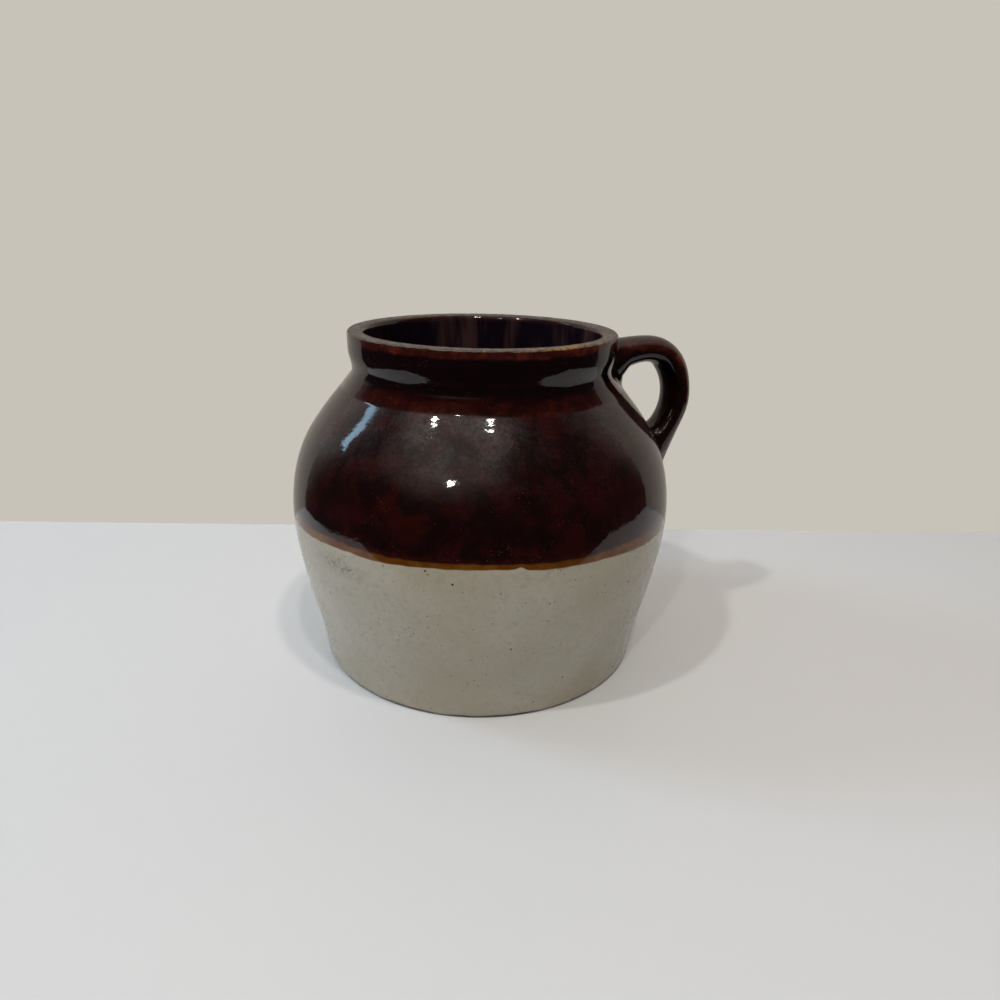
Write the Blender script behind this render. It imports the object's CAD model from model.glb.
import math

import bpy
import numpy as np
from mathutils import Matrix, Vector, noise


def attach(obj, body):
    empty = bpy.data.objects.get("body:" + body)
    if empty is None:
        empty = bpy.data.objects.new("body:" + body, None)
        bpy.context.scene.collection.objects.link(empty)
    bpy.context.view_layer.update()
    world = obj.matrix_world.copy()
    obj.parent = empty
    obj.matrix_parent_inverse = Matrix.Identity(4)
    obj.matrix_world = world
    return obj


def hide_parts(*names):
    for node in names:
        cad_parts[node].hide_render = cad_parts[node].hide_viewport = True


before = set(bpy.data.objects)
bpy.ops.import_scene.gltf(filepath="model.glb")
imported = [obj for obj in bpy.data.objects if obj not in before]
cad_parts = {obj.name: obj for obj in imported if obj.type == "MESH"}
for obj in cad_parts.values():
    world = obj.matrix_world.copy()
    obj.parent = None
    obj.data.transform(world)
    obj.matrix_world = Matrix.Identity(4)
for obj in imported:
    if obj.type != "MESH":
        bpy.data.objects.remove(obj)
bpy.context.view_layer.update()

# Stoneware bean pot. Sizes are in millimetres and turned into metres when a mesh is made.
# Azimuths are in degrees about the pot's axis, 0 through the handle (+X), 90 along +Y.
mm = 0.001

# Outline of the glazed outside: radius at the belly, then rise and end slope of each arc
belly_radius = 82.0
stretches = [
    (1.2, 5.4),
    (21.4, 13.8),
    (31.0, 8.2),
    (13.8, 0.0),
    (20.3, -16.6),
    (14.0, -33.2),
    (10.1, -39.5),
    (9.9, -39.5),
    (5.1, 0.0),
    (1.4, 9.5),
    (12.2, -2.9),
    (1.05, -90.0),
]

# Which of those arcs end at the foot's edge, the belly, the cone, the neck's hollow and the band's top
foot_station = 1
belly_station = 4
cone_station = 8
neck_station = 9
band_station = 11

# The finer form of the neck and its band where the glaze covers them: height and radius
neck_form = [
    (119.7, 58.594), (121.7, 56.946), (123.2, 55.72), (124.6, 54.82), (126.0, 54.55), (127.4, 54.58),
    (128.8, 54.86), (130.2, 55.22), (131.6, 55.56), (132.8, 55.77), (134.0, 55.87), (136.0, 55.93),
    (138.2, 55.95), (140.4, 55.93),
]

# Wall and coats, measured in from the glazed outside, and the inside's floor and round turns
wall = 6.0
coat = 0.4
liner_coat = 0.2
floor_top = 7.2
floor_corner_radius = 9.0
rim_inner_radius = 2.3

# A coat's edge: how far it is sunk and over what length it rises, then the lengths over which the
# clay dips under the foot's, the rim's and the liner's edges, and the gap between clay and coat
coat_step = 0.1
coat_taper = 1.2
foot_run = 1.4
rim_run = 1.0
liner_run = 0.9
under_gap = 0.02

# A slightly steeper collar under the neck, only in its shading: where it starts and ends, how much
# it leans off the cone, and how much its two edges are rounded
collar_from = 118.9
collar_to = 124.0
collar_lean = 0.5
collar_start_round = 0.4
collar_end_round = 0.5

# Where the coats start and stop
bare_foot = 0.55
bare_rim = 0.62
bare_inner_turn = 36.0

# Heights of the amber line's edges at chosen azimuths, as the two glazes happened to run
amber_low = [
    (-166, 67.2), (-151, 67.9), (-137, 69.1), (-125, 68.8), (-114, 69.6), (-100, 70.0), (-91, 70.1),
    (-86.5, 69.3), (-81, 68.8), (-63, 68.2), (-50, 66.9), (-34, 66.3), (5, 66.6), (45, 67.3),
    (85, 66.7), (125, 67.5), (165, 66.9),
]
amber_high = [
    (-143, 72.9), (-131, 72.6), (-119, 72.3), (-101, 72.8), (-87, 72.3), (-71, 72.0), (-60, 72.8),
    (-51, 73.3), (-15, 72.4), (25, 73.0), (65, 72.3), (110, 72.9), (160, 72.6),
]
notch_azimuth = -88.9
notch_width = 1.0
notch_rise = 0.9

# Heights over which the dark glaze changes: red where it is thin, hazy on the shoulder, deep in the neck
red_start = (117.2, 119.6)
red_end = (125.0, 120.6)
band_foot_height = 129.0
haze_start = (70, 80)
haze_gain = (80, 108)
haze_end = (120.6, 117.8)
neck_start = (121.5, 126)

# Depths under the rim's edge and above the amber line over which the dark glaze turns from red
red_under_rim = (3.4, 1.2)
red_over_amber = (2.2, 0.0)

# A rubbed mark on the pale glaze, its azimuth and height with the spread of each
scuff_azimuth = -139.5
scuff_height = 61.5
scuff_turn = 6.5
scuff_spread = 2.6

# Rust and chips on the rim by azimuth and spread, and the height that kiln dirt reaches on the clay
rust_azimuth = -62.0
rust_turn = 17
chip_turn = 20
rust_back_azimuth = 112.0
rust_back_turn = 9
dirt_top = 30

# Handle: stations of an oval strap from the neck round to the shoulder
handle_reach = 93.2
handle_drop = 3.2
root_bend_radius = 38.0
root_lift = 33.0
crown_bend_radius = 12.5
crown_turn = 55.4
side_bend_radius = 26.4
side_turn = 62.0
tail_length = 22.4
buried_length = 6.0
root_thickness = 30.0
root_flare_power = 3
crown_thickness = 11.1
bend_thickness = 12.2
side_thickness = 11.0
tail_thickness = 19.2
root_width = 23.0
strap_width = 19.0
tail_width = 17.0
strands = 144

# The round fillets at the handle's two ends, by rise off the pot and spread over it, then how far
# their outer edge is let into the pot's surface and how far its buried end goes on
upper_fillet = (3.0, 3.2)
lower_fillet = (6.0, 4.6)
fillet_edge = 0.04
fillet_sunk = 1.2

# Floor, from the camera's side: left, right, front and back limits of the table near the pot, how
# far the table and the ground behind it go, their level, and the wall's top and shade
table_near = (-315, 475, -155, 122)
table_limit = 4000
ground_limit = 9000
floor_level = -0.03
wall_top = 620
wall_shade = (0.575, 0.545, 0.485, 1.0)

# Where the lamps aim, as a height on the pot's axis
lamp_aim = 90.0

# Camera, as it stood in front of the pot, with angles in degrees
camera_azimuth = -99.0
camera_distance = 306.9
camera_height = 182.0
camera_yaw = 1.60
camera_pitch = 20.85
camera_roll = 1.28
camera_lens = 26.0
camera_sensor = 36.0
photo_azimuth = -9.0

# Points in each ring of the pot
around = 720


# Outline geometry


def outline_table(steps=48):
    """Arc length, radius, height and slope at fine steps up the glazed outside."""
    rows = [(0.0, 0.0, 0.0, math.pi / 2)]
    marks = [0.0]
    for rise, end in stretches:
        length, radius, height, start = rows[-1]
        end = math.radians(end)
        turn = math.sin(end) - math.sin(start)
        for step in range(1, steps + 1):
            part = step / steps
            if abs(turn) < 1e-9:
                r = radius + rise * part * math.tan(start)
                z = height + rise * part
                run = rise * part / math.cos(start)
                slope = start
            else:
                bend = rise / turn
                slope = start + (end - start) * part
                r = radius + bend * (math.cos(start) - math.cos(slope))
                z = height + bend * (math.sin(slope) - math.sin(start))
                run = abs(bend * (slope - start))
            rows.append((length + run, r, z, slope))
        marks.append(rows[-1][0])
    table = np.array(rows).T
    belly = np.interp(marks[belly_station], table[0], table[1])
    table[1] += belly_radius - belly
    return table, marks


def natural_spline(places, values, at):
    """Cubic spline with free ends through rows of values."""
    n = len(places)
    gaps = np.diff(places)
    system = np.eye(n)
    right = np.zeros_like(values)
    for i in range(1, n - 1):
        system[i, i - 1:i + 2] = gaps[i - 1], 2 * (gaps[i - 1] + gaps[i]), gaps[i]
        change = (values[i + 1] - values[i]) / gaps[i] - (values[i] - values[i - 1]) / gaps[i - 1]
        right[i] = 6 * change
    bend = np.linalg.solve(system, right)
    i = np.clip(np.searchsorted(places, at) - 1, 0, n - 2)
    t = ((at - places[i]) / gaps[i])[:, None]
    gap = gaps[i][:, None]
    a, b = values[i], values[i + 1]
    return (
        a * (1 - t) + b * t
        + gap ** 2 / 6 * (((1 - t) ** 3 - (1 - t)) * bend[i] + (t ** 3 - t) * bend[i + 1])
    )


def with_neck_form(table, marks):
    """The outline table with the finer neck between the cone and the rim's edge."""
    low, high = (int(np.argmin(abs(table[0] - marks[k]))) for k in (cone_station, band_station))
    form = np.array(neck_form)
    z = np.linspace(table[2][low], table[2][high], 240)
    r = natural_spline(form[:, 0], form[:, 1:], z)[:, 0]
    slope = np.arctan(np.gradient(r, z))
    middle = np.array([z * 0, r, z, slope])
    whole = np.concatenate([table[:, :low], middle, table[:, high + 1:]], axis=1)
    whole[0] = np.concatenate([[0], np.cumsum(np.hypot(np.diff(whole[1]), np.diff(whole[2])))])
    return whole


PLAIN, MARKS = outline_table()
OUTLINE = with_neck_form(PLAIN, MARKS)
pot_height = PLAIN[2][-1]
neck_height = float(np.interp(MARKS[neck_station], PLAIN[0], PLAIN[2]))
bore_radius = float(np.interp(MARKS[neck_station], PLAIN[0], PLAIN[1])) - wall
rim_flat_inner = bore_radius + rim_inner_radius


def outline_at(length, depth, table=OUTLINE):
    """Radius and height at an arc length along the outside, this deep under it."""
    r, z, slope = (np.interp(length, table[0], row) for row in table[1:])
    return r - depth * np.cos(slope), z + depth * np.sin(slope)


def length_at(height):
    """Arc length along the outside at a height."""
    return np.interp(height, OUTLINE[2], OUTLINE[0])


def inside_path(depth_in):
    """The inside's path from the rim's flat down to the floor's centre, sunk outwards by depth_in."""
    corner_r = rim_flat_inner
    corner_z = pot_height - rim_inner_radius
    points = []
    for turn in np.radians(np.linspace(0, 90, 25)):
        reach = rim_inner_radius - depth_in
        points.append((corner_r - reach * math.sin(turn), corner_z + reach * math.cos(turn)))
    for z in np.linspace(corner_z, neck_height, 17)[1:]:
        points.append((bore_radius + depth_in, z))
    depth = wall - depth_in
    lengths = np.linspace(MARKS[neck_station], MARKS[foot_station], 400)
    r, z = outline_at(lengths, depth, PLAIN)
    round_r, round_z = outline_at(lengths, depth + floor_corner_radius, PLAIN)
    floor_z = floor_top - depth_in
    last = int(np.argmax(round_z < floor_z + floor_corner_radius))
    points += list(zip(r[1:last], z[1:last]))
    slope = np.interp(lengths[last], PLAIN[0], PLAIN[3])
    for turn in np.linspace(-slope, -math.pi / 2, 15):
        points.append((
            round_r[last] + floor_corner_radius * math.cos(turn),
            round_z[last] + floor_corner_radius * math.sin(turn),
        ))
    for r in np.linspace(round_r[last], 0, 30)[1:-1]:
        points.append((r, floor_z))
    points.append((0.3, floor_z))
    points = np.array(points)
    lengths = np.concatenate([[0], np.cumsum(np.hypot(*np.diff(points, axis=0).T))])
    return lengths, points


def round_curve(points, azimuths):
    """A smooth closed curve through (azimuth, value) points, by cubic Hermite pieces."""
    turns = np.array([p[0] for p in points], float)
    values = np.array([p[1] for p in points], float)
    turns = np.concatenate([turns[-2:] - 360, turns, turns[:2] + 360])
    values = np.concatenate([values[-2:], values, values[:2]])
    slopes = np.zeros(len(turns))
    slopes[1:-1] = (values[2:] - values[:-2]) / (turns[2:] - turns[:-2])
    at = (azimuths - turns[1]) % 360 + turns[1]
    i = np.clip(np.searchsorted(turns, at) - 1, 1, len(turns) - 3)
    span = turns[i + 1] - turns[i]
    t = (at - turns[i]) / span
    return (
        values[i] * (1 + 2 * t) * (1 - t) ** 2 + slopes[i] * span * t * (1 - t) ** 2
        + values[i + 1] * t * t * (3 - 2 * t) - slopes[i + 1] * span * t * t * (1 - t)
    )


def wavy(azimuths, waves, seed):
    """A small closed wave of mixed lengths, between about -1 and 1."""
    total = np.zeros(len(azimuths))
    draw = np.random.default_rng(seed)
    for count in waves:
        total += np.sin(np.radians(azimuths) * count + draw.uniform(0, 2 * math.pi))
    return total / math.sqrt(len(waves))


# Mesh helpers


def spun(radius, height, azimuths):
    """Points of a ring, from radius and height per azimuth."""
    turn = np.radians(azimuths)
    return np.stack([radius * np.cos(turn), radius * np.sin(turn), height + 0 * turn], axis=-1)


def make_mesh(name, rows, loop=False, values=None):
    """A smooth closed piece from rows of ring points in mm; loop joins the last row to the first."""
    rows = np.asarray(rows, float)
    count, across = rows.shape[:2]
    verts = rows.reshape(-1, 3)
    grid = np.arange(count * across).reshape(count, across)
    low, high = (grid, np.roll(grid, -1, axis=0)) if loop else (grid[:-1], grid[1:])
    quads = np.stack([low, np.roll(low, -1, axis=1), np.roll(high, -1, axis=1), high], axis=-1)
    faces = quads.reshape(-1, 4).tolist()
    if not loop:
        tip = len(verts)
        verts = np.vstack([verts, rows[0].mean(axis=0), rows[-1].mean(axis=0)])
        faces += [(tip, int(b), int(a)) for a, b in zip(grid[0], np.roll(grid[0], -1))]
        faces += [(tip + 1, int(a), int(b)) for a, b in zip(grid[-1], np.roll(grid[-1], -1))]
    mesh = bpy.data.meshes.new(name)
    mesh.from_pydata((verts * mm).tolist(), [], faces)
    for key, value in (values or {}).items():
        flat = np.zeros(len(verts))
        flat[:count * across] = np.broadcast_to(value, (count, across)).ravel()
        mesh.attributes.new(key, "FLOAT", "POINT").data.foreach_set("value", flat.astype(np.float32))
    mesh.validate()
    mesh.shade_smooth()
    mesh.set_sharp_from_angle(angle=math.radians(50))
    piece = bpy.data.objects.new(name, mesh)
    bpy.context.scene.collection.objects.link(piece)
    return piece


def finish_piece(piece, material, slot, *nodes):
    """Gives a piece its material and puts it in place of the solids that it stands for."""
    piece.data.materials.append(material)
    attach(piece, "root")
    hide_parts(*nodes)


def rough_field(points, scale, seed):
    """Smooth random values at points in mm, about -1 to 1, for worn and chipped edges."""
    shift = Vector((seed * 7.1, seed * 3.3, seed * 5.7))
    flat = points.reshape(-1, 3) / scale
    values = [noise.noise(Vector(p) + shift) for p in flat]
    return np.array(values).reshape(points.shape[:-1])


def smooth(low, high, value):
    """0 below the low limit, 1 above the high one, with an eased step between."""
    t = np.clip((value - low) / (high - low), 0, 1)
    return t * t * (3 - 2 * t)


# Material helpers


class Finish:
    """A material with one Principled shader and small helpers for its nodes."""

    def __init__(self, name, **sockets):
        self.material = bpy.data.materials.new(name)
        self.material.use_nodes = True
        self.tree = self.material.node_tree
        self.shader = self.tree.nodes["Principled BSDF"]
        for key, value in sockets.items():
            self.shader.inputs[key.replace("_", " ")].default_value = value
        self.place = self.node("ShaderNodeTexCoord").outputs["Object"]

    def node(self, kind, links=None, **settings):
        made = self.tree.nodes.new(kind)
        for key, value in settings.items():
            setattr(made, key, value)
        for key, value in (links or {}).items():
            if isinstance(value, bpy.types.NodeSocket):
                self.tree.links.new(value, made.inputs[key])
            else:
                made.inputs[key].default_value = value
        return made

    def noise(self, scale, detail=3.0, rough=0.5, distortion=0.0, stretch=None):
        place = self.place
        if stretch:
            links = {0: place, 1: stretch}
            place = self.node("ShaderNodeVectorMath", links, operation="MULTIPLY").outputs[0]
        links = {"Vector": place, "Scale": scale, "Detail": detail, "Roughness": rough,
                 "Distortion": distortion}
        return self.node("ShaderNodeTexNoise", links).outputs["Fac"]

    def cells(self, scale):
        links = {"Vector": self.place, "Scale": scale}
        return self.node("ShaderNodeTexVoronoi", links).outputs["Distance"]

    def value(self, name):
        return self.node("ShaderNodeAttribute", attribute_name=name).outputs["Fac"]

    def math(self, operation, a, b, clamp=False):
        return self.node("ShaderNodeMath", {0: a, 1: b}, operation=operation, use_clamp=clamp).outputs[0]

    def step(self, low, high, value, to_low=0.0, to_high=1.0):
        links = {"Value": value, "From Min": low, "From Max": high, "To Min": to_low, "To Max": to_high}
        return self.node("ShaderNodeMapRange", links, interpolation_type="SMOOTHSTEP").outputs["Result"]

    def product(self, a, b, clamp=False):
        return self.math("MULTIPLY", a, b, clamp)

    def mix(self, factor, a, b):
        links = {"Factor": factor, 6: a, 7: b}
        return self.node("ShaderNodeMix", links, data_type="RGBA").outputs[2]

    def bump(self, height, distance, under=None):
        links = {"Height": height, "Distance": distance, "Strength": 1.0}
        if under is not None:
            links["Normal"] = under
        return self.node("ShaderNodeBump", links).outputs["Normal"]

    def crease_ramp(self):
        """Height in mm of a steeper collar between the cone and the neck, for its shading."""
        high = self.node("ShaderNodeSeparateXYZ", {0: self.place}).outputs["Z"]
        above = self.product(self.math("SUBTRACT", high, collar_from * mm), collar_lean / mm)
        top = (collar_to - collar_from) * collar_lean
        links = {0: above, 1: 0.0, 2: collar_start_round}
        risen = self.node("ShaderNodeMath", links, operation="SMOOTH_MAX").outputs[0]
        links = {0: risen, 1: top, 2: collar_end_round}
        return self.node("ShaderNodeMath", links, operation="SMOOTH_MIN").outputs[0]

    def connect(self, **sockets):
        for key, value in sockets.items():
            self.tree.links.new(value, self.shader.inputs[key.replace("_", " ")])
        return self.material


def colour(red, green, blue):
    return (red, green, blue, 1.0)


def glaze_depth(f, place):
    """The dark glaze's own colour where it lies thick: on the pot, down the liner or on the handle."""
    if place == "inside":
        streaks = f.step(0.5, 0.68, f.noise(75, 3, 0.6, 0.3, (1, 1, 0.14)))
        return f.mix(streaks, colour(0.008, 0.0045, 0.009), colour(0.055, 0.028, 0.028))
    cloud = f.step(0.4, 0.62, f.noise(95, 6, 0.66, 0.3))
    if place == "handle":
        return f.mix(cloud, colour(0.0022, 0.0007, 0.0006), colour(0.008, 0.0011, 0.0008))
    deep = f.mix(cloud, colour(0.006, 0.0007, 0.0008), colour(0.019, 0.002, 0.0013))
    return f.mix(f.value("neck"), deep, colour(0.0028, 0.0006, 0.0011))


def brown_finish(name, place="outside"):
    """Dark glossy glaze, redder where it lies thin, with a worn haze over the shoulder."""
    f = Finish(name, IOR=1.5, Coat_IOR=1.5, Coat_Roughness=0.4)
    deep = glaze_depth(f, place)
    patches = f.step(0.4, 0.7, f.noise(190, 4, 0.6))
    red = f.mix(patches, colour(0.03, 0.0045, 0.003), colour(0.085, 0.016, 0.007))
    streak = f.step(0.36, 0.66, f.noise(150, 4, 0.6, 0.4, (1, 1, 2.2)))
    thin = f.product(f.value("thin"), f.math("ADD", f.product(streak, 0.7), 0.3), True)
    base = f.mix(thin, deep, red)
    bright = f.product(f.step(0.17, 0.08, f.cells(900)), f.step(0.5, 0.62, f.noise(120, 2)))
    base = f.mix(bright, base, colour(0.12, 0.05, 0.038))
    worn = f.step(0.4, 0.62, f.noise(75, 7, 0.72, 0.4))
    grain = f.step(0.3, 0.7, f.noise(900, 3, 0.7), 0.3, 0.72)
    haze = f.product(f.math("ADD", f.product(worn, 0.7), 0.3), f.value("haze"))
    haze = f.product(haze, grain)
    dull = f.step(0.5, 0.7, f.noise(80, 5, 0.62))
    roughness = f.math("ADD", f.product(dull, 0.08), 0.04)
    rings = f.bump(f.noise(150, 3, 0.6, 0.0, (0.4, 0.4, 1.0)), 0.00010)
    if place == "outside":
        rings = f.bump(f.crease_ramp(), 0.001, under=rings)
    peel = f.bump(f.noise(330, 3, 0.6), 0.00003, under=rings)
    fine = f.bump(f.noise(1500, 2, 0.6), 0.000007, under=peel)
    return f.connect(
        Base_Color=base, Roughness=roughness, Coat_Weight=haze, Normal=fine, Coat_Normal=peel,
    )


def amber_finish():
    """The overlap of the two glazes, yellow-brown below and running into the dark glaze above."""
    f = Finish("amber_glaze", IOR=1.5)
    patches = f.step(0.35, 0.7, f.noise(140, 4))
    gold = f.mix(patches, colour(0.105, 0.028, 0.0022), colour(0.155, 0.062, 0.006))
    dark = f.math("ADD", f.value("rise"), f.product(f.noise(260, 3), 0.3))
    base = f.mix(f.step(0.55, 0.98, f.math("SUBTRACT", dark, 0.15)), gold, colour(0.013, 0.002, 0.0015))
    low = f.mix(f.step(0.16, 0.0, f.value("rise")), base, colour(0.20, 0.12, 0.045))
    peel = f.bump(f.noise(240, 3, 0.55), 0.000045)
    rough = f.step(0.4, 0.7, f.noise(95, 5, 0.62), 0.07, 0.16)
    return f.connect(Base_Color=low, Roughness=rough, Normal=peel)


def cream_finish():
    """Pale glaze with a softer gloss, fine pits, iron specks and a faint warm mottle."""
    f = Finish("cream_glaze", IOR=1.48)
    body = f.mix(f.step(0.3, 0.7, f.noise(26, 4)), colour(0.386, 0.357, 0.268), colour(0.44, 0.42, 0.35))
    body = f.mix(f.step(0.45, 0.75, f.noise(420, 3, 0.6)), body, colour(0.376, 0.342, 0.274))
    pits = f.product(f.step(0.17, 0.07, f.cells(390)), f.step(0.42, 0.6, f.noise(60, 2)))
    body = f.mix(pits, body, colour(0.15, 0.12, 0.085))
    specks = f.product(f.step(0.085, 0.05, f.cells(150)), f.step(0.44, 0.5, f.noise(45, 2)))
    body = f.mix(specks, body, colour(0.045, 0.03, 0.022))
    rubbed = f.product(f.value("scuff"), f.step(0.42, 0.62, f.noise(900, 3)))
    body = f.mix(rubbed, body, colour(0.12, 0.11, 0.09))
    body = f.mix(f.value("foot"), body, colour(0.10, 0.075, 0.05))
    swell = f.bump(f.noise(38, 2, 0.5), 0.00016)
    peel = f.bump(f.noise(330, 3, 0.6), 0.00006, under=swell)
    holes = f.bump(f.step(0.0, 0.12, f.cells(390)), 0.00005, under=peel)
    rough = f.step(0.4, 0.7, f.noise(90, 4), 0.22, 0.34)
    return f.connect(Base_Color=body, Roughness=rough, Normal=holes)


def clay_finish():
    """Bare stoneware, worn grey-tan on the rim with dark grit, rust and a stained edge."""
    f = Finish("bare_stoneware", IOR=1.46)
    patches = f.step(0.3, 0.7, f.noise(300, 4, 0.65))
    body = f.mix(patches, colour(0.045, 0.037, 0.033), colour(0.105, 0.09, 0.08))
    grit = f.step(0.56, 0.66, f.noise(1500, 2, 0.6))
    body = f.mix(grit, body, colour(0.014, 0.011, 0.009))
    pale = f.step(0.57, 0.68, f.noise(1100, 2, 0.6, 0.3))
    body = f.mix(pale, body, colour(0.25, 0.22, 0.19))
    rust = f.product(f.value("rust"), f.step(0.42, 0.56, f.noise(520, 4, 0.6)))
    body = f.mix(rust, body, colour(0.30, 0.165, 0.045))
    char = f.product(f.value("rust"), f.step(0.52, 0.6, f.noise(760, 3, 0.6, 0.5)))
    body = f.mix(char, body, colour(0.012, 0.008, 0.006))
    body = f.mix(f.value("dirt"), body, colour(0.022, 0.015, 0.01))
    grain = f.bump(f.noise(1300, 4, 0.7), 0.00009)
    rough = f.step(0.35, 0.65, f.noise(600, 3), 0.38, 0.6)
    return f.connect(Base_Color=body, Roughness=rough, Normal=grain)


# Pot pieces


def bell(azimuth, width):
    """A soft mark round one azimuth, 1 in its middle."""
    return np.exp(-(((AZ - azimuth + 180) % 360 - 180) / width) ** 2)


AZ = np.arange(around) * 360 / around
ripple = wavy(AZ, (5, 9, 14, 23, 37), 4)
amber_low_height = round_curve(amber_low, AZ) + 0.1 * wavy(AZ, (31, 47, 73), 5)
amber_low_height = amber_low_height + notch_rise * bell(notch_azimuth, notch_width)
amber_high_height = round_curve(amber_high, AZ) + 0.12 * wavy(AZ, (29, 43, 61, 97), 6)
amber_low_length = length_at(amber_low_height)
amber_high_length = length_at(amber_high_height)
rim_edge_height = pot_height - bare_rim + 0.12 * ripple + 0.06 * wavy(AZ, (53, 71, 113), 7)
rim_edge_length = length_at(rim_edge_height)
foot_edge_length = length_at(bare_foot + 0.28 * wavy(AZ, (3, 7, 12, 19, 33), 8).clip(-1.6, 1.6))
inner_edge_mean = rim_inner_radius * math.radians(bare_inner_turn)
inner_edge = inner_edge_mean + 0.12 * wavy(AZ, (6, 11, 17, 29), 21) + 0.05 * wavy(AZ, (59, 83), 22)


def coat_rows(start, end, rows, taper_start=False, taper_end=False):
    """Rings of a closed coat between two edges: up its outside, then down its inside."""
    rings = []
    lengths = []
    for part in np.linspace(0, 1, rows):
        length = start + (end - start) * part
        depth = np.zeros(around)
        if taper_start:
            depth = depth + coat_step * (1 - smooth(0, coat_taper, length - start))
        if taper_end:
            depth = depth + coat_step * (1 - smooth(0, coat_taper, end - length))
        rings.append(spun(*outline_at(length, depth), AZ))
        lengths.append(length)
    for part in np.linspace(1, 0, max(rows // 2, 3)):
        length = start + (end - start) * part
        rings.append(spun(*outline_at(length, coat), AZ))
        lengths.append(length)
    return np.array(rings), np.array(lengths)


def build_brown():
    """The dark coat, with where it lies thin, hazy or in the neck's deep shade."""
    rings, lengths = coat_rows(amber_high_length, rim_edge_length, 150, taper_end=True)
    heights = rings[:, :, 2]
    below_rim = 3.0 * smooth(*red_under_rim, rim_edge_height - heights)
    collar = 0.6 * smooth(*red_start, heights) * smooth(*red_end, heights)
    band_foot = 0.25 * np.exp(-((heights - band_foot_height) / 0.7) ** 2)
    seam = 0.5 * smooth(*red_over_amber, lengths - amber_high_length)
    thin = below_rim + collar + band_foot + seam
    shoulder = 0.1 * smooth(*haze_start, heights) + 0.75 * smooth(*haze_gain, heights)
    haze = smooth(*haze_end, heights) * shoulder
    neck = 0.85 * smooth(*neck_start, heights)
    piece = make_mesh("brown_coat", rings, loop=True, values={"thin": thin, "haze": haze, "neck": neck})
    finish_piece(piece, brown_finish("brown_glaze"), "brown_glaze", "brown_glaze")


def build_amber():
    """The line where the dark and the pale coat overlap."""
    rings, lengths = coat_rows(amber_low_length, amber_high_length, 14)
    rise = (lengths - amber_low_length) / (amber_high_length - amber_low_length)
    piece = make_mesh("amber_line", rings, loop=True, values={"rise": rise})
    finish_piece(piece, amber_finish(), "amber_glaze", "amber_band")


def build_cream():
    """The pale coat, with its rubbed mark and its stained foot."""
    rings, lengths = coat_rows(foot_edge_length, amber_low_length, 110, taper_start=True)
    scuff = np.exp(-((rings[:, :, 2] - scuff_height) / scuff_spread) ** 2)
    scuff *= bell(scuff_azimuth, scuff_turn)
    foot = 0.8 * smooth(1.1, 0.0, lengths - foot_edge_length)
    piece = make_mesh("cream_coat", rings, loop=True, values={"scuff": scuff, "foot": foot})
    finish_piece(piece, cream_finish(), "cream_glaze", "cream_glaze")


def level_ring(radius, height):
    """A ring of one radius at one height."""
    return spun(np.full(around, radius), np.full(around, height), AZ)


def foot_rings():
    """The flat underside, the foot's bare edge and the wall as far as the rim's coat edge."""
    rings = [level_ring(r, 0.0) for r in (0.4, 20.0, 40.0, 60.0, 68.0)]
    for length in np.linspace(0, 1.0, 6):
        rings.append(spun(*outline_at(np.full(around, length), coat_step), AZ))
    for part in np.linspace(0, 1, 5):
        length = foot_edge_length + part * foot_run
        depth = coat_step + (coat - coat_step) * smooth(0.4, foot_run, length - foot_edge_length)
        rings.append(spun(*outline_at(length, depth), AZ))
    for part in np.linspace(0.02, 0.98, 40):
        covered = rim_edge_length - foot_edge_length - 2 * foot_run
        length = foot_edge_length + foot_run + part * covered
        rings.append(spun(*outline_at(length, coat + under_gap), AZ))
    return rings


def rim_rings():
    """The bare rim: its outer edge, its flat and the turn into the mouth."""
    rings = []
    under = coat + under_gap
    for part in np.linspace(0, 1, 5):
        length = rim_edge_length - rim_run * (1 - part)
        depth = under - (under - coat_step) * smooth(0.3, 1.0, part)
        rings.append(spun(*outline_at(length, depth), AZ))
    for part in np.linspace(0, 1, 9)[1:]:
        length = rim_edge_length + part * (OUTLINE[0][-1] - rim_edge_length)
        rings.append(spun(*outline_at(length, coat_step * (1 - part)), AZ))
    for r in np.linspace(OUTLINE[1][-1], rim_flat_inner, 18)[1:-1]:
        rings.append(level_ring(r, pot_height))
    return rings + inside_rings(0.0, 0.0, inner_edge_mean, 8)


def inside_rings(depth_in, start, end, count):
    """Level rings along the inside's path; no end means as far as the floor's centre."""
    lengths, path = inside_path(depth_in)
    end = lengths[-1] if end is None else end
    places = np.linspace(start, end, count)
    return [level_ring(*(np.interp(length, lengths, path[:, k]) for k in (0, 1))) for length in places]


def rim_rust(on_rim):
    """How strong the rust is on the rim's rings: most at the front, and near the outer edge."""
    outer = smooth(53.0, 54.6, np.hypot(on_rim[:, :, 0], on_rim[:, :, 1]))
    front = bell(rust_azimuth, rust_turn)
    back = 0.7 * bell(rust_back_azimuth, rust_back_turn)
    return np.clip(front * (0.35 + outer) + back * (0.3 + outer), 0, 1)


def build_clay():
    """The clay under the coats, bare at the foot and on the rim's worn flat top."""
    foot = foot_rings()
    rim = np.array(rim_rings())
    wear_rim(rim)
    inner = inside_rings(liner_coat + under_gap, inner_edge_mean + liner_run, None, 60)
    rings = np.concatenate([foot, rim, inner])
    rust = np.zeros(rings.shape[:2])
    rust[len(foot):len(foot) + len(rim)] = rim_rust(rim)
    dirt = np.where(rings[:, :, 2] < dirt_top, 1.0, 0.0)
    piece = make_mesh("stoneware_body", rings, values={"rust": rust, "dirt": dirt})
    finish_piece(piece, CLAY, "bare_stoneware", "clay_body")


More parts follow.
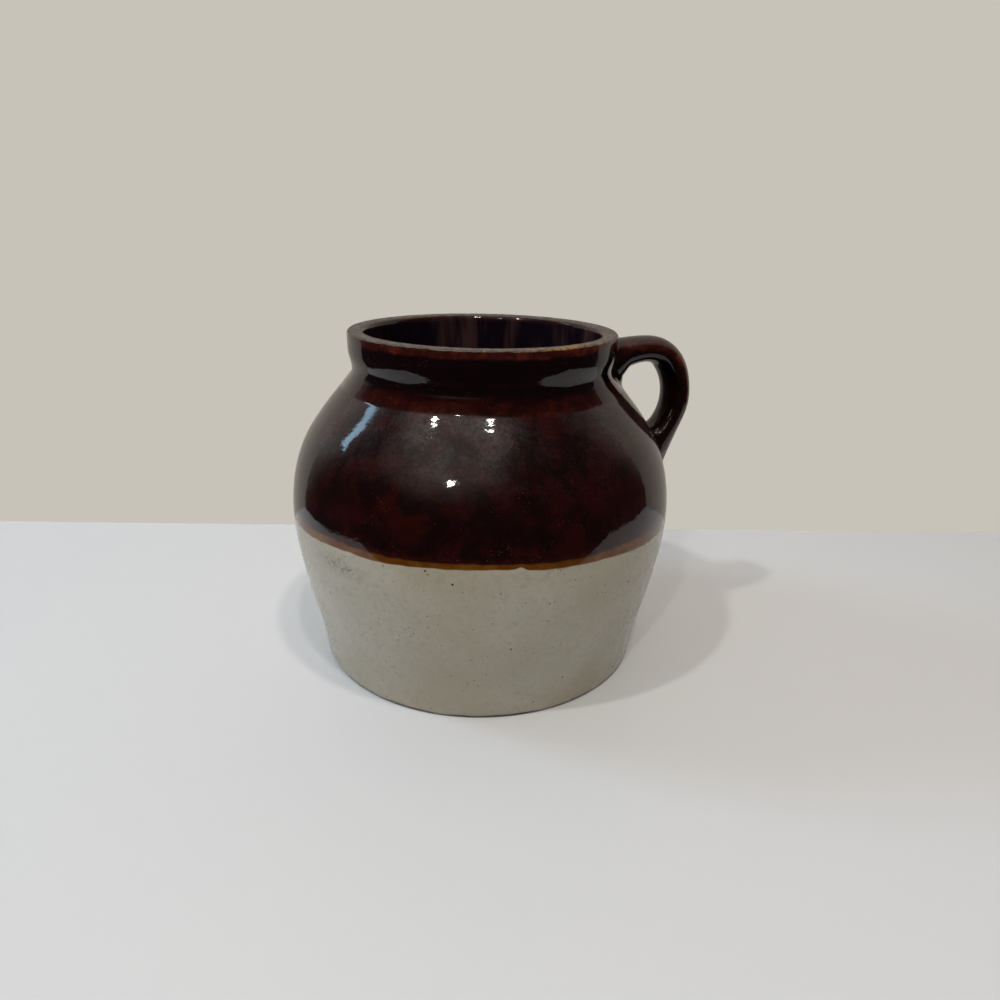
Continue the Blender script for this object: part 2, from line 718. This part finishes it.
def wear_rim(rings):
    """Sinks the rim's bare clay by small grainy wear and a few chips, never above its flat."""
    grain = rough_field(rings, 0.9, 3)
    broad = rough_field(rings, 4.0, 5)
    chips = smooth(0.28, 0.55, rough_field(rings, 2.2, 9))
    front = bell(rust_azimuth, chip_turn)
    sink = 0.03 * (grain + 1) + 0.03 * (broad + 1) + chips * (0.08 + 0.22 * front)
    order = np.arange(len(rings))
    edge = smooth(0, 3, order) * smooth(0, 3, order[::-1])
    rings[:, :, 2] -= sink * edge[:, None]


def build_liner():
    """The thin dark coat of the inside, from the rim's bare turn to the floor's centre."""
    crowding = 1.15
    rings = []
    for depth_in, parts in ((0.0, np.linspace(0, 1, 150)), (liner_coat, np.linspace(1, 0, 80))):
        lengths, path = inside_path(depth_in)
        for part in parts ** crowding:
            length = inner_edge + part * (lengths[-1] - inner_edge)
            r, z = (np.interp(length, lengths, path[:, k]) for k in (0, 1))
            ease = 0.0 if depth_in else coat_step * (1 - smooth(0, 1.0, length - inner_edge))
            rings.append(spun(r + 0.5 * ease, z - ease, AZ))
    rings = np.array(rings)
    thin = smooth(3.0, 0.2, pot_height - 0.4 - rings[:, :, 2]) * 0.8
    piece = make_mesh("liner_coat", rings, loop=True, values={"thin": thin})
    finish_piece(piece, brown_finish("brown_glaze_inside", "inside"), "brown_glaze", "inner_glaze")


# Handle


def handle_sections():
    """Centre, angle, thickness and width of ovals along the strap, smooth through its stations."""
    turn = math.radians(crown_turn)
    tail = math.radians(crown_turn + side_turn)
    lift = math.radians(root_lift)
    crown_x = (
        handle_reach - side_thickness / 2
        - side_bend_radius * (1 - math.sin(turn))
        - crown_bend_radius * math.sin(turn)
    )
    crown_z = pot_height - handle_drop - crown_thickness / 2
    stations = []
    root_x = crown_x - root_bend_radius * math.sin(lift)
    root_z = crown_z - root_bend_radius * (1 - math.cos(lift))
    stations.append((
        root_x - buried_length * math.cos(lift), root_z - buried_length * math.sin(lift),
        lift, root_thickness, root_width,
    ))
    for left in (1, 2 / 3, 1 / 3, 0):
        a = lift * left
        stations.append((
            crown_x - root_bend_radius * math.sin(a),
            crown_z - root_bend_radius * (1 - math.cos(a)),
            a,
            crown_thickness + (root_thickness - crown_thickness) * left ** root_flare_power,
            strap_width + (root_width - strap_width) * left ** 2,
        ))
    for part in (1 / 3, 2 / 3, 1):
        a = turn * part
        stations.append((
            crown_x + crown_bend_radius * math.sin(a),
            crown_z - crown_bend_radius * (1 - math.cos(a)),
            -a,
            crown_thickness + (bend_thickness - crown_thickness) * part,
            strap_width,
        ))
    side_x, side_z = stations[-1][:2]
    for part in (1 / 3, 2 / 3, 1):
        a = turn + (tail - turn) * part
        stations.append((
            side_x + side_bend_radius * (math.sin(a) - math.sin(turn)),
            side_z - side_bend_radius * (math.cos(turn) - math.cos(a)),
            -a,
            bend_thickness + (side_thickness - bend_thickness) * part,
            strap_width,
        ))
    tail_x, tail_z = stations[-1][:2]
    for reach in (tail_length / 2, tail_length, tail_length + buried_length):
        part = min(reach / tail_length, 1)
        stations.append((
            tail_x + reach * math.cos(tail), tail_z - reach * math.sin(tail),
            -tail,
            side_thickness + (tail_thickness - side_thickness) * part,
            strap_width + (tail_width - strap_width) * part,
        ))
    stations = np.array(stations)
    places = np.concatenate([[0], np.cumsum(np.hypot(*np.diff(stations[:, :2], axis=0).T))])
    return natural_spline(places, stations, np.linspace(0, places[-1], 260))


def outside_distance(points):
    """How far points in mm are outside the pot's glazed surface, roughly square to it."""
    r = np.hypot(points[..., 0], points[..., 1])
    z = np.clip(points[..., 2], 0, pot_height)
    radius = np.interp(z, OUTLINE[2], OUTLINE[1])
    slope = np.interp(z, OUTLINE[2], OUTLINE[3])
    return (r - radius) * np.cos(slope)


def onto_pot(points, depth):
    """Points moved onto the pot's surface at their own height and azimuth, this deep."""
    turn = np.arctan2(points[..., 1], points[..., 0])
    r, z = outline_at(length_at(points[..., 2]), depth)
    return np.stack([r * np.cos(turn), r * np.sin(turn), z], axis=-1)


def first_place(strap, distance):
    """For each strand of the strap, the point where it comes this near to the pot, going inward."""
    far = outside_distance(strap)
    found = []
    indices = []
    for strand in range(strap.shape[1]):
        d = far[:, strand]
        i = max(int(np.argmax(d < distance)), 1)
        t = (d[i - 1] - distance) / (d[i - 1] - d[i])
        found.append(strap[i - 1, strand] * (1 - t) + strap[i, strand] * t)
        indices.append(i)
    return np.array(found), np.array(indices)


def build_handle():
    """The glazed strap, with the glaze thin and red along the upper edge that faces the camera."""
    angle = np.linspace(0, 2 * math.pi, strands, endpoint=False)
    rows = []
    for x, z, tilt, thickness, width in handle_sections():
        up = np.array([-math.sin(tilt), 0, math.cos(tilt)])
        side = np.array([0, -1, 0])
        centre = np.array([x, 0, z])
        rise = np.outer(np.sin(angle) * thickness / 2, up)
        rows.append(centre + rise + np.outer(np.cos(angle) * width / 2, side))
    strap = np.array(rows)
    strap = strap + skin_ripple(strap)
    middle = len(strap) // 2
    upper = root_skirt(strap[:middle + 1][::-1], upper_fillet)
    lower = root_skirt(strap[middle:], lower_fillet)
    rings = np.concatenate([upper[::-1], lower[1:]])
    along = np.concatenate([np.linspace(0, 1, len(upper)), np.linspace(1, 0, len(lower))[1:]])
    edge = 1.5 * np.exp(-((np.sin(angle) - 0.5) / 0.3) ** 2)
    thin = np.outer(smooth(0.0, 0.22, along), edge)
    piece = make_mesh("handle_coat", rings, values={"thin": thin})
    finish_piece(piece, brown_finish("brown_glaze_handle", "handle"), "brown_glaze", "handle_glaze")


def skin_ripple(points):
    """Slight unevenness of a hand-pulled strap, in mm along X and Z."""
    wave = rough_field(points, 17.0, 12)
    return np.stack([0.12 * wave, 0 * wave, 0.1 * wave], axis=-1)


def root_skirt(strap, fillet):
    """Strap rows going towards the pot, then a round fillet onto its surface and a buried end."""
    lift, spread = fillet
    start, index = first_place(strap, lift)
    meet, _ = first_place(strap, 0.0)
    last = int(index.min()) - 2
    along = np.roll(meet, -1, axis=0) - np.roll(meet, 1, axis=0)
    going = meet - start
    out = np.cross(along, going)
    middle = meet.mean(axis=0)
    out *= np.sign((out * (meet - middle)).sum(axis=1))[:, None]
    out /= np.linalg.norm(out, axis=1)[:, None]
    slope = np.interp(meet[:, 2], OUTLINE[2], OUTLINE[3])
    turn = np.arctan2(meet[:, 1], meet[:, 0])
    level = np.cos(slope)
    normal = np.stack([level * np.cos(turn), level * np.sin(turn), -np.sin(slope)], axis=-1)
    out -= normal * (out * normal).sum(axis=1)[:, None]
    out /= np.linalg.norm(out, axis=1)[:, None]
    foot = onto_pot(meet + out * spread, fillet_edge)
    meet = onto_pot(meet, 0.0)
    base = strap[last - 1]
    rows = list(strap[:last])
    for part in (0.34, 0.67, 1.0):
        rows.append(base * (1 - part) + start * part)
    for part in np.linspace(0, 1, 12)[1:]:
        rows.append(start * (1 - part) ** 2 + meet * 2 * part * (1 - part) + foot * part ** 2)
    sunk = foot - normal * fillet_sunk
    rows.append(sunk)
    centre = sunk.mean(axis=0)
    for part in (0.5, 0.95):
        rows.append(sunk * (1 - part) + centre * part)
    return np.array(rows)


# Stage, light and camera


def plain_surface(name, shade, rough):
    """A material of one colour and one roughness."""
    f = Finish(name, Roughness=rough)
    f.shader.inputs["Base Color"].default_value = shade
    return f.material


def to_photo_frame(x, y, z):
    """A place in mm as seen from the camera's side, x right and y away, in the part's own frame."""
    turn = math.radians(photo_azimuth)
    return Vector((
        (x * math.cos(turn) - y * math.sin(turn)) * mm,
        (x * math.sin(turn) + y * math.cos(turn)) * mm,
        z * mm,
    ))


def floor_part(name, material, *rectangles):
    """A level piece of floor from rectangles of x and y limits in mm, seen from the camera's side."""
    mesh = bpy.data.meshes.new(name)
    corners = []
    for x0, x1, y0, y1 in rectangles:
        corners += [(x0, y0), (x1, y0), (x1, y1), (x0, y1)]
    faces = [tuple(range(k, k + 4)) for k in range(0, len(corners), 4)]
    mesh.from_pydata([to_photo_frame(x, y, floor_level) for x, y in corners], [], faces)
    mesh.materials.append(material)
    part = bpy.data.objects.new(name, mesh)
    bpy.context.scene.collection.objects.link(part)
    return part


def build_floor():
    """A white table, mirrored in the glazes only near the pot, and a plain beige ground behind it."""
    white = plain_surface("white_table", colour(0.71, 0.745, 0.785), 0.4)
    beige = plain_surface("beige_ground", wall_shade, 0.6)
    tree = beige.node_tree
    plain = tree.nodes.new("ShaderNodeEmission")
    plain.inputs["Color"].default_value = wall_shade
    path = tree.nodes.new("ShaderNodeLightPath")
    choose = tree.nodes.new("ShaderNodeMixShader")
    tree.links.new(path.outputs["Is Camera Ray"], choose.inputs["Fac"])
    tree.links.new(tree.nodes["Principled BSDF"].outputs[0], choose.inputs[1])
    tree.links.new(plain.outputs[0], choose.inputs[2])
    tree.links.new(choose.outputs[0], tree.nodes["Material Output"].inputs["Surface"])
    left, right, front, back = table_near
    floor_part("table", white, (left, right, front, back))
    around_it = floor_part(
        "table_around", white,
        (-table_limit, table_limit, -table_limit, front),
        (-table_limit, left, front, back),
        (right, table_limit, front, back),
    )
    behind = floor_part("ground_behind", beige, (-ground_limit, ground_limit, back, ground_limit))
    around_it.visible_glossy = False
    behind.visible_glossy = False
    build_wall(left, right, back)


def build_wall(left, right, back):
    """The pale wall behind the table, there for the glazes to mirror and not for the camera."""
    mesh = bpy.data.meshes.new("wall")
    corners = [(left, floor_level), (right, floor_level), (right, wall_top), (left, wall_top)]
    mesh.from_pydata([to_photo_frame(x, back, z) for x, z in corners], [], [(0, 1, 2, 3)])
    mesh.materials.append(plain_surface("pale_wall", colour(0.70, 0.67, 0.62), 0.5))
    wall = bpy.data.objects.new("wall", mesh)
    bpy.context.scene.collection.objects.link(wall)
    wall.visible_camera = False
    wall.visible_shadow = False


def build_world():
    """Plain surroundings: a soft bright ceiling on the left, light behind and a dim room in front."""
    world = bpy.data.worlds.new("studio")
    world.use_nodes = True
    bpy.context.scene.world = world
    tree = world.node_tree
    background = tree.nodes["Background"]
    place = tree.nodes.new("ShaderNodeTexCoord").outputs["Generated"]

    def near(direction, inner, outer):
        """1 within the inner angle of a direction, easing to 0 at the outer one."""
        dot = tree.nodes.new("ShaderNodeVectorMath")
        dot.operation = "DOT_PRODUCT"
        dot.inputs[1].default_value = direction
        tree.links.new(place, dot.inputs[0])
        fade = tree.nodes.new("ShaderNodeMapRange")
        fade.interpolation_type = "SMOOTHSTEP"
        fade.inputs["From Min"].default_value = math.cos(math.radians(outer))
        fade.inputs["From Max"].default_value = math.cos(math.radians(inner))
        tree.links.new(dot.outputs["Value"], fade.inputs["Value"])
        return fade.outputs["Result"]

    def blend(factor, a, b):
        """One colour going over into another by a factor."""
        made = tree.nodes.new("ShaderNodeMix")
        made.data_type = "RGBA"
        tree.links.new(factor, made.inputs["Factor"])
        for key, value in ((6, a), (7, b)):
            if isinstance(value, bpy.types.NodeSocket):
                tree.links.new(value, made.inputs[key])
            else:
                made.inputs[key].default_value = value
        return made.outputs[2]

    dim = colour(0.032, 0.024, 0.028)
    room = blend(near(direction_of(90, 30), 50, 75), dim, colour(0.42, 0.39, 0.36))
    lit = blend(near(direction_of(-122, 58), 8, 40), room, colour(0.42, 0.38, 0.36))
    tree.links.new(lit, background.inputs["Color"])
    camera_sky = tree.nodes.new("ShaderNodeBackground")
    camera_sky.inputs["Color"].default_value = wall_shade
    choose = tree.nodes.new("ShaderNodeMixShader")
    path = tree.nodes.new("ShaderNodeLightPath")
    tree.links.new(path.outputs["Is Camera Ray"], choose.inputs["Fac"])
    tree.links.new(background.outputs[0], choose.inputs[1])
    tree.links.new(camera_sky.outputs[0], choose.inputs[2])
    tree.links.new(choose.outputs[0], tree.nodes["World Output"].inputs["Surface"])


def direction_of(azimuth, elevation):
    """Unit direction from the pot, azimuth as seen from the camera's side."""
    turn = math.radians(azimuth + photo_azimuth)
    rise = math.radians(elevation)
    return Vector((math.cos(turn) * math.cos(rise), math.sin(turn) * math.cos(rise), math.sin(rise)))


def add_lamp(name, azimuth, elevation, distance, size, watts, tint, size_y=None):
    """An area lamp that faces the pot, its place given by direction and distance in mm."""
    data = bpy.data.lights.new(name, "AREA")
    data.shape = "DISK" if size_y is None else "RECTANGLE"
    data.size = size * mm
    if size_y is not None:
        data.size_y = size_y * mm
    data.energy = watts
    data.color = tint
    lamp = bpy.data.objects.new(name, data)
    aim = Vector((0, 0, lamp_aim * mm))
    lamp.location = aim + direction_of(azimuth, elevation) * distance * mm
    lamp.rotation_euler = (lamp.location - aim).to_track_quat("Z", "Y").to_euler()
    bpy.context.scene.collection.objects.link(lamp)
    return lamp


def build_lights():
    """Small warm lamps, a narrow cool one at the left, and two soft ones that the glazes don't mirror."""
    warm = (1.0, 0.93, 0.85)
    warmer = (1.0, 0.88, 0.74)
    cool = (0.62, 0.82, 1.0)
    cooler = (0.45, 0.74, 1.0)
    add_lamp("lamp_left", -143, 58, 1400, 64, 4.0, warm)
    add_lamp("lamp_right", -79, 64, 1400, 76, 2.9, warm)
    add_lamp("lamp_front", -110, 38, 1500, 62, 2.5, warm)
    add_lamp("window_glint", 165, 31, 1500, 135, 1.1, cooler, 480)
    window = add_lamp("window", 170, 34, 1500, 400, 5.0, cool, 400)
    room = add_lamp("room", -60, 68, 1500, 110, 4.6, warmer)
    for lamp in (window, room):
        lamp.visible_glossy = False


def build_camera():
    """The camera at the picture's place, turned by yaw, then tipped down and rolled."""
    data = bpy.data.cameras.new("camera")
    data.lens = camera_lens
    data.sensor_width = camera_sensor
    data.clip_start = 0.01
    camera = bpy.data.objects.new("camera", data)
    yaw, pitch, roll = (math.radians(a) for a in (camera_yaw, camera_pitch, camera_roll))
    turn = math.radians(photo_azimuth)
    level = math.cos(pitch)
    forward = Vector((math.sin(yaw) * level, math.cos(yaw) * level, -math.sin(pitch)))
    forward.rotate(Matrix.Rotation(turn, 3, "Z"))
    right = forward.cross(Vector((0, 0, 1))).normalized()
    up = right.cross(forward)
    side = right * math.cos(roll) + up * math.sin(roll)
    top = up * math.cos(roll) - right * math.sin(roll)
    azimuth = math.radians(camera_azimuth)
    place = Vector((
        camera_distance * math.cos(azimuth), camera_distance * math.sin(azimuth), camera_height,
    )) * mm
    frame_of = Matrix((side, top, -forward)).transposed().to_4x4()
    frame_of.translation = place
    camera.matrix_world = frame_of
    bpy.context.scene.collection.objects.link(camera)
    bpy.context.scene.camera = camera


CLAY = clay_finish()

build_clay()
build_cream()
build_amber()
build_brown()
build_liner()
build_handle()

for node in ("handle", "upper_slip_joint", "lower_slip_joint"):
    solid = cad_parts[node]
    solid.data.materials.clear()
    solid.data.materials.append(CLAY)

build_floor()
build_world()
build_lights()
build_camera()
bpy.context.scene.view_settings.view_transform = "Standard"
